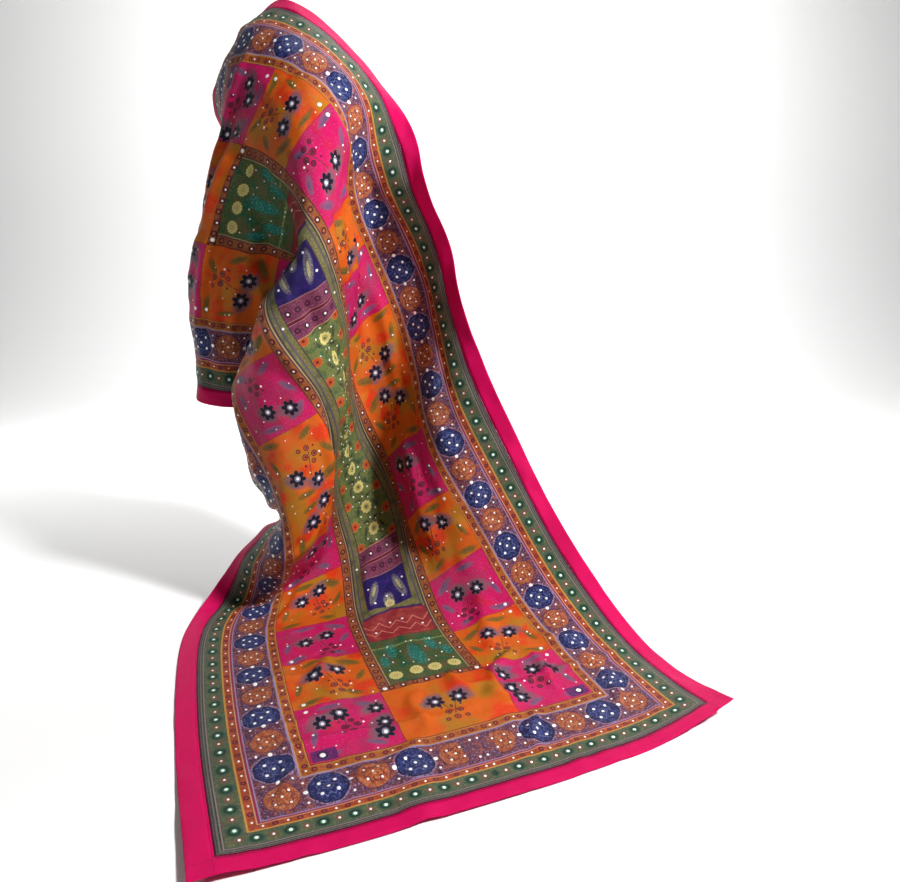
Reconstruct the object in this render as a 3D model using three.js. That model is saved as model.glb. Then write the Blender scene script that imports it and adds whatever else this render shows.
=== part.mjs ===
// Dupatta worn over the wearer's right shoulder, millimetres, +Z up, -Y towards the viewer.
// The origin is the top of the shoulder that holds it. The floor is at FLOOR_Z.
import * as THREE from 'three';

const WIDTH = 1000;            // cloth, long edge to long edge
const LENGTH = 2400;           // cloth, short end to short end
const SIDE_EDGE = 40;          // plain edge along the long sides
const END_EDGE = 31;           // plain edge along the short ends
const WALL = 1.6;              // printed cloth with its turned edge
const SEAM = 0.3;              // air between neighbouring pieces
const FLOOR_Z = -1400;
const CELLS_ACROSS = 24;       // between the two side edges
const CELLS_ALONG = 64;        // between the two end edges

// Where the cloth lies. One row per section, taken along the cloth from the floor end.
// left and right are the long edges; in20..in80 stand 200, 400, 600, 800 mm in from the left.
const SECTIONS = [
  { at: 0, left: [50, -988, -1385], in20: [215, -922, -1396], in40: [385, -858, -1394],
    in60: [555, -790, -1396], in80: [722, -708, -1398], right: [872, -612, -1372] },
  { at: 300, left: [-85, -730, -1398], in20: [93, -662, -1396], in40: [280, -592, -1396],
    in60: [458, -518, -1394], in80: [635, -435, -1398], right: [812, -348, -1394] },
  { at: 600, left: [-190, -445, -1398], in20: [0, -390, -1398], in40: [175, -315, -1396],
    in60: [350, -245, -1385], in80: [490, -190, -1320], right: [672, -135, -1248] },
  { at: 750, left: [-218, -275, -1396], in20: [-60, -275, -1396], in40: [130, -170, -1385],
    in60: [300, -125, -1310], in80: [418, -150, -1190], right: [595, -105, -1112] },
  { at: 900, left: [-165, -120, -1390], in20: [-30, -155, -1345], in40: [105, -65, -1290],
    in60: [250, -55, -1180], in80: [350, -145, -1060], right: [545, -120, -980] },
  { at: 1050, left: [-110, -135, -1265], in20: [8, -258, -1219], in40: [95, -120, -1150],
    in60: [200, -10, -1050], in80: [300, -115, -932], right: [488, -155, -852] },
  { at: 1200, left: [-64, -115, -1168], in20: [34, -252, -1106], in40: [90, -190, -1030],
    in60: [160, -35, -910], in80: [270, -50, -802], right: [440, -150, -732] },
  { at: 1350, left: [-75, -95, -1080], in20: [-42, -240, -990], in40: [110, -240, -890],
    in60: [150, -90, -770], in80: [232, 0, -672], right: [385, -125, -602] },
  { at: 1500, left: [-60, -70, -975], in20: [-90, -195, -865], in40: [40, -280, -770],
    in60: [150, -180, -660], in80: [200, -45, -545], right: [340, -120, -477] },
  { at: 1650, left: [-40, -100, -930], in20: [-50, -145, -765], in40: [-10, -270, -645],
    in60: [135, -280, -545], in80: [165, -140, -432], right: [285, -165, -370] },
  { at: 1800, left: [0, -10, -935], in20: [-5, -60, -740], in40: [35, -160, -580],
    in60: [80, -300, -440], in80: [165, -220, -320], right: [240, -100, -250] },
  { at: 1950, left: [-155, -70, -905], in20: [-155, -110, -710], in40: [-80, -140, -520],
    in60: [15, -220, -360], in80: [100, -230, -222], right: [160, -80, -125] },
  { at: 2100, left: [-220, -20, -885], in20: [-215, -60, -690], in40: [-180, -110, -495],
    in60: [-85, -140, -325], in80: [-5, -150, -148], right: [15, -30, -25] },
  { at: 2250, left: [-175, 100, -880], in20: [-195, 65, -685], in40: [-200, 20, -495],
    in60: [-175, -30, -305], in80: [-110, -70, -118], right: [-40, 40, -20] },
  { at: 2400, left: [-65, 185, -955], in20: [-95, 170, -765], in40: [-125, 145, -570],
    in60: [-160, 110, -375], in80: [-170, 70, -185], right: [-100, 110, -30] },
];
const COLUMNS = ['left', 'in20', 'in40', 'in60', 'in80', 'right'];

// Folds laid into the sections: the cloth round (across, along) is drawn aside by move, and the
// pull fades out over wide and long.
const FOLDS = [
  { name: 'left edge curls back', across: 110, along: 1225, wide: 90, long: 110, move: [-48, -4, 0] },
];

// The general figure the cloth stays clear of: rounded bars from one joint to the next.
const FIGURE = [
  { part: 'trunk', from: [90, 100, -1400], to: [90, 100, -200], radius: 115 },
  { part: 'shoulders', from: [170, 60, -62], to: [-60, 40, -75], radius: 58 },
  { part: 'upper arm', from: [-75, 40, -85], to: [-122, 20, -340], radius: 48 },
  { part: 'forearm', from: [-122, 20, -340], to: [-125, -60, -580], radius: 42 },
];

// How the cloth is let settle from the sections to its own cut size.
const ROUNDS = 700;
const HOLD = 0.10;             // pull of a section point
const EASE = 0.14;             // evening out of kinks
const CLEAR = 40;              // least distance between layers, node to node
const APART = 130;             // nodes farther apart than this in the cloth are other layers

function lines(edge, size, cells) {
  const out = [0];
  for (let i = 0; i <= cells; i++) out.push(edge + (size - 2 * edge) * i / cells);
  out.push(size);
  return out;
}
const US = lines(SIDE_EDGE, WIDTH, CELLS_ACROSS);
const VS = lines(END_EDGE, LENGTH, CELLS_ALONG);
const NU = US.length, NV = VS.length;

// Cubic through knots at xs, value ys, evaluated at x.
function through(xs, ys, x) {
  let k = 0;
  while (k < xs.length - 2 && x > xs[k + 1]) k++;
  const h = xs[k + 1] - xs[k], t = (x - xs[k]) / h;
  const slope = (i) => (i <= 0 ? (ys[1] - ys[0]) / (xs[1] - xs[0])
    : i >= xs.length - 1 ? (ys[i] - ys[i - 1]) / (xs[i] - xs[i - 1])
      : (ys[i + 1] - ys[i - 1]) / (xs[i + 1] - xs[i - 1]));
  const t2 = t * t, t3 = t2 * t;
  return (2 * t3 - 3 * t2 + 1) * ys[k] + (t3 - 2 * t2 + t) * h * slope(k)
    + (3 * t2 - 2 * t3) * ys[k + 1] + (t3 - t2) * h * slope(k + 1);
}

function guide(u, v) {
  const at = SECTIONS.map((s) => s.at);
  const across = COLUMNS.map((c, i) => WIDTH * i / (COLUMNS.length - 1));
  const place = [0, 1, 2].map((k) => through(across,
    COLUMNS.map((c) => through(at, SECTIONS.map((s) => s[c][k]), v)), u));
  for (const { across: u0, along: v0, wide, long, move } of FOLDS) {
    const pull = Math.exp(-(((u - u0) / wide) ** 2) - ((v - v0) / long) ** 2);
    for (let k = 0; k < 3; k++) place[k] += pull * move[k];
  }
  return place;
}

function settle() {
  const n = NU * NV, P = new Float64Array(3 * n), G = new Float64Array(3 * n);
  const id = (i, j) => i * NV + j;
  for (let i = 0; i < NU; i++) for (let j = 0; j < NV; j++) {
    const g = guide(US[i], VS[j]);
    for (let k = 0; k < 3; k++) P[3 * id(i, j) + k] = G[3 * id(i, j) + k] = g[k];
  }
  const springs = [];                       // groups of [a, b, rest, stiffness], each applied at once
  for (let odd = 0; odd < 2; odd++) {
    const g = [];
    for (let i = odd; i < NU - 1; i += 2) for (let j = 0; j < NV; j++)
      g.push([id(i, j), id(i + 1, j), US[i + 1] - US[i], 0.5]);
    springs.push(g);
  }
  for (let odd = 0; odd < 2; odd++) {
    const g = [];
    for (let i = 0; i < NU; i++) for (let j = odd; j < NV - 1; j += 2)
      g.push([id(i, j), id(i, j + 1), VS[j + 1] - VS[j], 0.5]);
    springs.push(g);
  }
  for (let way = 0; way < 2; way++) {
    const g = [];
    for (let i = 0; i < NU - 1; i++) for (let j = 0; j < NV - 1; j++)
      g.push([id(i + way, j), id(i + 1 - way, j + 1),
        Math.sqrt((US[i + 1] - US[i]) ** 2 + (VS[j + 1] - VS[j]) ** 2), 0.09]);
    springs.push(g);
  }
  const D = new Float64Array(3 * n);
  const pull = (g) => {
    D.fill(0);
    for (const [a, b, rest, k] of g) {
      const dx = P[3 * b] - P[3 * a], dy = P[3 * b + 1] - P[3 * a + 1], dz = P[3 * b + 2] - P[3 * a + 2];
      const len = Math.sqrt(dx * dx + dy * dy + dz * dz), f = k * (len - rest) / Math.max(len, 1e-9);
      D[3 * a] += dx * f; D[3 * a + 1] += dy * f; D[3 * a + 2] += dz * f;
      D[3 * b] -= dx * f; D[3 * b + 1] -= dy * f; D[3 * b + 2] -= dz * f;
    }
    for (let q = 0; q < 3 * n; q++) P[q] += D[q];
  };
  const even = (di, dj, k) => {
    D.fill(0);
    for (let i = di; i < NU - di; i++) for (let j = dj; j < NV - dj; j++) {
      const a = 3 * id(i - di, j - dj), m = 3 * id(i, j), b = 3 * id(i + di, j + dj);
      for (let c = 0; c < 3; c++) {
        const e = k * ((P[a + c] + P[b + c]) * 0.5 - P[m + c]);
        D[m + c] += e; D[a + c] -= 0.5 * e; D[b + c] -= 0.5 * e;
      }
    }
    for (let q = 0; q < 3 * n; q++) P[q] += D[q];
  };
  const keepOff = () => {
    for (let q = 0; q < n; q++) {
      for (const { from, to, radius } of FIGURE) {
        const ab = to.map((t, c) => t - from[c]), ap = from.map((f, c) => P[3 * q + c] - f);
        const t = Math.min(1, Math.max(0, (ap[0] * ab[0] + ap[1] * ab[1] + ap[2] * ab[2])
          / (ab[0] * ab[0] + ab[1] * ab[1] + ab[2] * ab[2])));
        const e = ap.map((x, c) => x - ab[c] * t);
        const d = Math.sqrt(e[0] * e[0] + e[1] * e[1] + e[2] * e[2]), r = radius + 4;
        if (d < r) for (let c = 0; c < 3; c++) P[3 * q + c] += e[c] * (r - d) / Math.max(d, 1e-9);
      }
      P[3 * q + 2] = Math.max(P[3 * q + 2], FLOOR_Z + WALL / 2);
    }
  };
  let pairs = [];
  const findPairs = () => {
    pairs = [];
    for (let a = 0; a < n; a++) for (let b = a + 1; b < n; b++) {
      const dx = P[3 * b] - P[3 * a], dy = P[3 * b + 1] - P[3 * a + 1], dz = P[3 * b + 2] - P[3 * a + 2];
      if (dx * dx + dy * dy + dz * dz > 4 * CLEAR * CLEAR) continue;
      const du = US[(a / NV) | 0] - US[(b / NV) | 0], dv = VS[a % NV] - VS[b % NV];
      if (du * du + dv * dv > APART * APART) pairs.push([a, b]);
    }
  };
  const part = () => {
    D.fill(0);
    for (const [a, b] of pairs) {
      const dx = P[3 * b] - P[3 * a], dy = P[3 * b + 1] - P[3 * a + 1], dz = P[3 * b + 2] - P[3 * a + 2];
      const len = Math.sqrt(dx * dx + dy * dy + dz * dz);
      if (len >= CLEAR) continue;
      const f = 0.25 * (CLEAR - len) / Math.max(len, 1e-9);
      D[3 * a] -= dx * f; D[3 * a + 1] -= dy * f; D[3 * a + 2] -= dz * f;
      D[3 * b] += dx * f; D[3 * b + 1] += dy * f; D[3 * b + 2] += dz * f;
    }
    for (let q = 0; q < 3 * n; q++) P[q] += D[q];
  };
  for (let r = 0; r < ROUNDS; r++) {
    const left = 1 - r / ROUNDS;
    for (let twice = 0; twice < 2; twice++) for (const g of springs) pull(g);
    even(1, 0, EASE + 0.1 * left); even(0, 1, EASE + 0.1 * left);
    even(2, 0, EASE / 2); even(0, 2, EASE / 2);
    const hold = HOLD * left + 0.025;
    for (let q = 0; q < 3 * n; q++) P[q] += hold * (G[q] - P[q]);
    if (r % 20 === 0) findPairs();
    part();
    keepOff();
  }
  return P;
}
const CLOTH = settle();
const node = (i, j) => new THREE.Vector3(...CLOTH.subarray(3 * (i * NV + j), 3 * (i * NV + j) + 3));

// Point of the cloth's middle layer at grid place (i, j), which may fall between nodes.
function middle(i, j) {
  const i0 = Math.min(Math.floor(i), NU - 2), j0 = Math.min(Math.floor(j), NV - 2);
  const a = node(i0, j0).lerp(node(i0 + 1, j0), i - i0), b = node(i0, j0 + 1).lerp(node(i0 + 1, j0 + 1), i - i0);
  return a.lerp(b, j - j0);
}
function normal(i, j) {
  const a = node(Math.max(i - 1, 0), j), b = node(Math.min(i + 1, NU - 1), j);
  const c = node(i, Math.max(j - 1, 0)), d = node(i, Math.min(j + 1, NV - 1));
  return b.sub(a).cross(d.sub(c)).normalize();
}

// One piece: grid places i0..i1 by j0..j1, drawn in by half a seam where it meets another piece.
function piece(name, color, i0, i1, j0, j1) {
  const rows = i1 - i0 + 1, cols = j1 - j0 + 1, pos = [], index = [];
  const inset = (k, lo, hi, lines) => {
    if (k === lo && lo > 0) return k + SEAM / 2 / (lines[k + 1] - lines[k]);
    if (k === hi && hi < lines.length - 1) return k - SEAM / 2 / (lines[k] - lines[k - 1]);
    return k;
  };
  for (const side of [1, -1]) for (let i = i0; i <= i1; i++) for (let j = j0; j <= j1; j++) {
    const p = middle(inset(i, i0, i1, US), inset(j, j0, j1, VS)).addScaledVector(normal(i, j), side * WALL / 2);
    pos.push(p.x, p.y, p.z);
  }
  const at = (side, i, j) => side * rows * cols + i * cols + j;
  for (let i = 0; i < rows - 1; i++) for (let j = 0; j < cols - 1; j++) {
    index.push(at(0, i, j), at(0, i + 1, j), at(0, i + 1, j + 1), at(0, i, j), at(0, i + 1, j + 1), at(0, i, j + 1));
    index.push(at(1, i, j), at(1, i + 1, j + 1), at(1, i + 1, j), at(1, i, j), at(1, i, j + 1), at(1, i + 1, j + 1));
  }
  const rim = [];
  for (let j = 0; j < cols - 1; j++) rim.push([0, j, 0, j + 1]);
  for (let i = 0; i < rows - 1; i++) rim.push([i, cols - 1, i + 1, cols - 1]);
  for (let j = cols - 1; j > 0; j--) rim.push([rows - 1, j, rows - 1, j - 1]);
  for (let i = rows - 1; i > 0; i--) rim.push([i, 0, i - 1, 0]);
  for (const [a, b, c, d] of rim)
    index.push(at(0, a, b), at(0, c, d), at(1, c, d), at(0, a, b), at(1, c, d), at(1, a, b));
  const g = new THREE.BufferGeometry();
  g.setAttribute('position', new THREE.Float32BufferAttribute(pos, 3));
  g.setIndex(index);
  g.computeVertexNormals();
  const m = new THREE.Mesh(g, new THREE.MeshStandardMaterial({ color, roughness: 0.75 }));
  m.name = name;
  return m;
}

// Stretches along the cloth: what each one does, how many cells long it is, and its print colour.
const STRETCHES = [
  { name: 'train', cells: 17, color: '#c2521f' },
  { name: 'fall', cells: 18, color: '#b5472a' },
  { name: 'front', cells: 17, color: '#a84a3a' },
  { name: 'arm', cells: 12, color: '#c05a2a' },
];
const PINK = '#d4145a';

const group = new THREE.Group();
group.name = 'dupatta_worn';
group.add(piece('edge_bottom_end', PINK, 0, NU - 1, 0, 1));
let from = 1;
for (const { name, cells, color } of STRETCHES) {
  group.add(piece(`panel_${name}`, color, 1, NU - 2, from, from + cells));
  group.add(piece(`edge_left_${name}`, PINK, 0, 1, from, from + cells));
  group.add(piece(`edge_right_${name}`, PINK, NU - 2, NU - 1, from, from + cells));
  from += cells;
}
group.add(piece('edge_top_end', PINK, 0, NU - 1, NV - 2, NV - 1));
export default group;
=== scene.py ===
import math

import bmesh
import bpy
import numpy as np
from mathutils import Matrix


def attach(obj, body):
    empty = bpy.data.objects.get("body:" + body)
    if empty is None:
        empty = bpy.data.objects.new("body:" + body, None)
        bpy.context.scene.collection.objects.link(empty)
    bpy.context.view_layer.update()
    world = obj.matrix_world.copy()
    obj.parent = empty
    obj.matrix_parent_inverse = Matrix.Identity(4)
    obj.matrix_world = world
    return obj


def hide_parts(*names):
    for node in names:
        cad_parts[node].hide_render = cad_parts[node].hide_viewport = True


# ---------------------------------------------------------------- sizes, millimetres unless said
WIDTH, LENGTH = 1000.0, 2400.0  # the cloth, long edge to long edge, short end to short end
SIDE_EDGE, END_EDGE = 40.0, 31.0  # plain edge on the long sides and on the ends
FLOOR_Z = -1400.0
WALL = 1.6  # the CAD wall, used where the cloth settles
CELLS_ACROSS, CELLS_ALONG = 24, 64
CLOTH = 0.9  # thickness of the printed cloth as shown
EDGE_SHAPE = [(0, 0.9), (2, 1.8), (8, 1.5), (30, 1.3), (40, 1.2)]  # turned edge: distance in, thickness
SEAM = 0.2  # between the printed cloth and the turned edge
STEP = 7.0  # size of the fine cells

# ---------------------------------------------------------------- where the cloth lies (as in the part)
SECTIONS = [
    # at, left, in20, in40
    #     in60, in80, right
    (0, (50, -988, -1385), (215, -922, -1396), (385, -858, -1394),
     (555, -790, -1396), (722, -708, -1398), (872, -612, -1372)),
    (300, (-85, -730, -1398), (93, -662, -1396), (280, -592, -1396),
     (458, -518, -1394), (635, -435, -1398), (812, -348, -1394)),
    (600, (-190, -445, -1398), (0, -390, -1398), (175, -315, -1396),
     (350, -245, -1385), (490, -190, -1320), (672, -135, -1248)),
    (750, (-218, -275, -1396), (-60, -275, -1396), (130, -170, -1385),
     (300, -125, -1310), (418, -150, -1190), (595, -105, -1112)),
    (900, (-165, -120, -1390), (-30, -155, -1345), (105, -65, -1290),
     (250, -55, -1180), (350, -145, -1060), (545, -120, -980)),
    (1050, (-110, -135, -1265), (8, -258, -1219), (95, -120, -1150),
     (200, -10, -1050), (300, -115, -932), (488, -155, -852)),
    (1200, (-64, -115, -1168), (34, -252, -1106), (90, -190, -1030),
     (160, -35, -910), (270, -50, -802), (440, -150, -732)),
    (1350, (-75, -95, -1080), (-42, -240, -990), (110, -240, -890),
     (150, -90, -770), (232, 0, -672), (385, -125, -602)),
    (1500, (-60, -70, -975), (-90, -195, -865), (40, -280, -770),
     (150, -180, -660), (200, -45, -545), (340, -120, -477)),
    (1650, (-40, -100, -930), (-50, -145, -765), (-10, -270, -645),
     (135, -280, -545), (165, -140, -432), (285, -165, -370)),
    (1800, (0, -10, -935), (-5, -60, -740), (35, -160, -580),
     (80, -300, -440), (165, -220, -320), (240, -100, -250)),
    (1950, (-155, -70, -905), (-155, -110, -710), (-80, -140, -520),
     (15, -220, -360), (100, -230, -222), (160, -80, -125)),
    (2100, (-220, -20, -885), (-215, -60, -690), (-180, -110, -495),
     (-85, -140, -325), (-5, -150, -148), (15, -30, -25)),
    (2250, (-175, 100, -880), (-195, 65, -685), (-200, 20, -495),
     (-175, -30, -305), (-110, -70, -118), (-40, 40, -20)),
    (2400, (-65, 185, -955), (-95, 170, -765), (-125, 145, -570),
     (-160, 110, -375), (-170, 70, -185), (-100, 110, -30)),
]
FOLDS = [  # cloth drawn aside round a place on it: across, along, reach across, reach along, move
    (110, 1225, 90, 110, (-48, -4, 0)),  # the left edge curls back
]
FIGURE = [  # what the cloth stays clear of while it settles: from, to, radius
    ((90, 100, -1400), (90, 100, -200), 115),
    ((170, 60, -62), (-60, 40, -75), 58),
    ((-75, 40, -85), (-122, 20, -340), 48),
    ((-122, 20, -340), (-125, -60, -580), 42),
]
ROUNDS, HOLD, EASE = 700, 0.10, 0.14  # rounds of settling, pull to the sections, evening
CLEAR, APART = 40.0, 130.0  # places APART on the flat cloth stay CLEAR of each other

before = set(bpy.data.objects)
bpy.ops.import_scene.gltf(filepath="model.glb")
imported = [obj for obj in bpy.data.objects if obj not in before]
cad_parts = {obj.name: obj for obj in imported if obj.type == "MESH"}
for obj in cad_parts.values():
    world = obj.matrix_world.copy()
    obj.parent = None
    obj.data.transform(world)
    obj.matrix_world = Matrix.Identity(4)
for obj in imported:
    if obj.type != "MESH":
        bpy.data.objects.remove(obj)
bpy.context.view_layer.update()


# ============ the draped surface
def lines(edge, size, cells):
    return np.array([0.0] + [edge + (size - 2 * edge) * i / cells for i in range(cells + 1)] + [size])


US, VS = lines(SIDE_EDGE, WIDTH, CELLS_ACROSS), lines(END_EDGE, LENGTH, CELLS_ALONG)


def through(xs, ys, x):
    """Cubic through the knots xs, values ys (rows), at the places x, with central slopes."""
    xs, ys, x = np.asarray(xs, float), np.asarray(ys, float), np.asarray(x, float)
    slope = np.empty_like(ys)
    slope[0] = (ys[1] - ys[0]) / (xs[1] - xs[0])
    slope[-1] = (ys[-1] - ys[-2]) / (xs[-1] - xs[-2])
    span = (xs[2:] - xs[:-2]).reshape((-1,) + (1,) * (ys.ndim - 1))
    slope[1:-1] = (ys[2:] - ys[:-2]) / span
    k = np.clip(np.searchsorted(xs, x, side="left") - 1, 0, len(xs) - 2)
    shape = (-1,) + (1,) * (ys.ndim - 1)
    h = (xs[k + 1] - xs[k]).reshape(shape)
    t = ((x - xs[k]) / h.ravel()).reshape(shape)
    t2, t3 = t * t, t * t * t
    return ((2 * t3 - 3 * t2 + 1) * ys[k] + (t3 - 2 * t2 + t) * h * slope[k]
            + (3 * t2 - 2 * t3) * ys[k + 1] + (t3 - t2) * h * slope[k + 1])


def settle():
    """The same settling as the part's own: springs to the cut size, evening, and keeping clear."""
    at = [s[0] for s in SECTIONS]
    table = np.array([[s[1 + c] for c in range(6)] for s in SECTIONS], float)  # row, column, xyz
    along = through(at, table, VS)  # v, column, xyz
    guide = through([WIDTH * i / 5 for i in range(6)], along.transpose(1, 0, 2), US)
    for u0, v0, wide, long, move in FOLDS:
        near = np.exp(-((US[:, None] - u0) / wide) ** 2 - ((VS[None] - v0) / long) ** 2)
        guide = guide + near[..., None] * np.array(move, float)
    P = guide.copy()  # u, v, xyz
    nu, nv = len(US), len(VS)
    du, dv = np.diff(US), np.diff(VS)

    def pull(a, b, rest, k):
        d = P[b] - P[a]
        size = np.sqrt((d * d).sum(-1))
        f = d * (k * (size - rest) / np.maximum(size, 1e-9))[..., None]
        P[a] += f
        P[b] -= f

    S = slice
    groups = []
    for odd in (0, 1):
        n = (nu - odd) // 2
        a, b = S(odd, odd + 2 * n, 2), S(odd + 1, odd + 2 * n, 2)
        groups.append(((a,), (b,), du[odd::2][:n][:, None] * np.ones((1, nv)), 0.5))
    for odd in (0, 1):
        n = (nv - odd) // 2
        a, b = S(odd, odd + 2 * n, 2), S(odd + 1, odd + 2 * n, 2)
        groups.append(((S(None), a), (S(None), b), dv[odd::2][:n][None, :] * np.ones((nu, 1)), 0.5))
    diagonal = np.sqrt(du[:, None] ** 2 + dv[None, :] ** 2)
    groups.append(((S(0, -1), S(0, -1)), (S(1, None), S(1, None)), diagonal, 0.09))
    groups.append(((S(1, None), S(0, -1)), (S(0, -1), S(1, None)), diagonal, 0.09))

    def even(di, dj, k):
        a, b = (S(0, nu - 2 * di), S(0, nv - 2 * dj)), (S(2 * di, nu), S(2 * dj, nv))
        m = (S(di, nu - di), S(dj, nv - dj))
        e = k * ((P[a] + P[b]) * 0.5 - P[m])
        P[m] += e
        P[a] -= 0.5 * e
        P[b] -= 0.5 * e

    uu = np.repeat(US, nv)
    vv = np.tile(VS, nu)
    far = (uu[:, None] - uu[None]) ** 2 + (vv[:, None] - vv[None]) ** 2 > APART * APART
    far &= np.triu(np.ones_like(far), 1)
    pairs = None
    for r in range(ROUNDS):
        left = 1 - r / ROUNDS
        for _ in range(2):
            for g in groups:
                pull(*g)
        even(1, 0, EASE + 0.1 * left)
        even(0, 1, EASE + 0.1 * left)
        even(2, 0, EASE / 2)
        even(0, 2, EASE / 2)
        P += (HOLD * left + 0.025) * (guide - P)
        flat = P.reshape(-1, 3)
        if r % 20 == 0:
            near = np.zeros_like(far)
            for lo in range(0, len(flat), 256):
                d = flat[lo:lo + 256, None] - flat[None]
                near[lo:lo + 256] = (d * d).sum(-1) <= 4 * CLEAR * CLEAR
            pairs = np.nonzero(near & far)
        d = flat[pairs[1]] - flat[pairs[0]]
        size = np.sqrt((d * d).sum(-1))
        close = size < CLEAR
        f = d[close] * (0.25 * (CLEAR - size[close]) / np.maximum(size[close], 1e-9))[:, None]
        D = np.zeros_like(flat)
        np.add.at(D, pairs[0][close], -f)
        np.add.at(D, pairs[1][close], f)
        flat += D
        for start, end, radius in FIGURE:
            ab, ap = np.subtract(end, start).astype(float), flat - np.array(start, float)
            t = np.clip(ap @ ab / (ab @ ab), 0, 1)
            e = ap - t[:, None] * ab
            size, reach = np.sqrt((e * e).sum(-1)), radius + 4
            inside = size < reach
            flat[inside] += e[inside] * ((reach - size[inside]) / np.maximum(size[inside], 1e-9))[:, None]
        flat[:, 2] = np.maximum(flat[:, 2], FLOOR_Z + WALL / 2)
        P = flat.reshape(nu, nv, 3)
    return P


def spline(xs, ys, x):
    """Natural cubic spline through the rows ys at xs, with smooth curvature."""
    n, h = len(xs), np.diff(xs)
    A, B = np.eye(n), np.zeros((n,) + ys.shape[1:])
    for i in range(1, n - 1):
        A[i, i - 1:i + 2] = h[i - 1], 2 * (h[i - 1] + h[i]), h[i]
        B[i] = 6 * ((ys[i + 1] - ys[i]) / h[i] - (ys[i] - ys[i - 1]) / h[i - 1])
    M = np.linalg.solve(A, B.reshape(n, -1)).reshape(B.shape)
    k = np.clip(np.searchsorted(xs, x, side="right") - 1, 0, n - 2)
    s = (-1,) + (1,) * (ys.ndim - 1)
    H, a, b = h[k].reshape(s), (xs[k + 1] - x).reshape(s), (x - xs[k]).reshape(s)
    return ((M[k] * a ** 3 + M[k + 1] * b ** 3) / (6 * H)
            + (ys[k] / H - M[k] * H / 6) * a + (ys[k + 1] / H - M[k + 1] * H / 6) * b)


GRID = settle()


def surface(us, vs):
    """Points of the cloth's middle layer on the fine lines us by vs, before creases."""
    across = spline(US, GRID, np.asarray(us, float))
    return spline(VS, across.transpose(1, 0, 2), np.asarray(vs, float)).transpose(1, 0, 2)


def normals(points):
    n = np.cross(np.gradient(points, axis=0), np.gradient(points, axis=1))
    return n / np.maximum(np.linalg.norm(n, axis=-1, keepdims=True), 1e-9)


# Creases laid one by one: from (u, v) to (u, v), half width, height towards the printed side.
CREASES = [
    # u0, v0, u1, v1, wide, high
    (40, 238, 560, 246, 9, 7),  # pressed lines across the train
    (560, 262, 960, 292, 9, 7.5),
    (30, 470, 380, 480, 10, 6),
    (600, 270, 700, 405, 14, 15),  # short pulls round the train's right half
    (575, 285, 520, 365, 13, 13.5),
    (640, 230, 560, 300, 12, 11),
    (740, 200, 720, 400, 14, 13.5),
    (420, 190, 450, 330, 13, 11),
    (860, 300, 780, 420, 14, 11),
    (90, 300, 330, 330, 13, 9),
    (200, 100, 420, 180, 14, 9),
    (640, 345, 655, 640, 22, -15),  # trough beside the green block
    (695, 360, 720, 700, 25, 10.5),
    (300, 330, 250, 640, 20, 10.5),
    (800, 60, 850, 300, 16, 11),
    (150, 60, 180, 330, 14, 10.5),
    (600, 60, 640, 190, 13, 10.5),
    (240, 420, 330, 560, 14, 7.5),
    (430, 620, 500, 900, 22, 9),
    (120, 640, 200, 840, 17, -7.5),
    (200, 700, 290, 980, 17, 9),
    (700, 700, 690, 1080, 23, 12),  # long soft pulls up the hanging part
    (600, 800, 560, 1180, 22, -12),
    (820, 640, 830, 1100, 22, 9),
    (760, 880, 740, 1240, 16, -8),
    (300, 900, 340, 1130, 19, 10.5),
    (520, 900, 500, 1260, 16, 7.5),
    (190, 1050, 310, 1160, 17, 13.5),  # bright ridge beside the left border, dark groove by it
    (300, 1110, 405, 1360, 17, 16),
    (345, 1090, 445, 1400, 17, -16),
    (480, 1180, 490, 1420, 19, 10.5),
    (760, 1150, 730, 1500, 20, 12),
    (880, 1000, 890, 1500, 19, -9),
    (640, 1180, 620, 1480, 19, -10.5),
    (520, 1380, 500, 1640, 17, -12),
    (380, 1400, 420, 1700, 17, 12),
    (640, 1450, 660, 1800, 14, -14),
    (700, 1440, 730, 1740, 14, 13),
    (820, 1500, 780, 1860, 14, 13),
    (900, 1300, 860, 1760, 14, -8),
    (150, 1250, 190, 1560, 17, 7.5),
    (540, 1700, 600, 1960, 17, 12),
    (480, 1700, 530, 1900, 16, -12),
    (120, 1700, 330, 1850, 17, -10.5),  # up the arm
    (90, 1820, 380, 1960, 17, 12),
    (60, 1930, 330, 2020, 17, -12),
    (350, 1900, 620, 2010, 16, -10.5),
    (860, 1850, 760, 2050, 16, -9),
    (20, 1950, 560, 1955, 19, 12),
    (20, 2010, 620, 2025, 17, -13),
    (20, 2080, 640, 2100, 17, 11),
    (150, 2040, 480, 2070, 17, 6),  # and round the back
    (300, 2110, 700, 2120, 17, -9),
    (500, 2150, 860, 2150, 16, 9),
    (120, 2180, 420, 2210, 17, 9),
    (560, 2250, 820, 2280, 16, -7.5),
]
# Low ripples of the whole cloth: wave length along u and v, phase, height.
RIPPLES = [(310, 900, 0.4, 2.2), (-170, 520, 1.9, 1.5), (96, -330, 4.1, 1.0),
           (61, 143, 2.7, 0.6), (-47, 88, 5.2, 0.4)]


def crease(us, vs):
    u, v = np.meshgrid(us, vs, indexing="ij")
    out = np.zeros_like(u)
    for u0, v0, u1, v1, wide, high in CREASES:
        length = math.hypot(u1 - u0, v1 - v0)
        eu, ev = (u1 - u0) / length, (v1 - v0) / length
        t = ((u - u0) * eu + (v - v0) * ev) / length
        off = (u - u0) * ev - (v - v0) * eu
        off = off + wide * 0.9 * np.sin(t * 5.0 + u0 * 0.01)  # no crease is quite straight
        fade = np.clip(np.sin(np.clip(t, 0, 1) * math.pi), 0, 1) ** 0.7
        out += high * fade * np.exp(-(off / wide) ** 2)
    for lu, lv, phase, high in RIPPLES:
        out += high * np.sin(2 * math.pi * (u / lu + v / lv) + phase)
    return out


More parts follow.
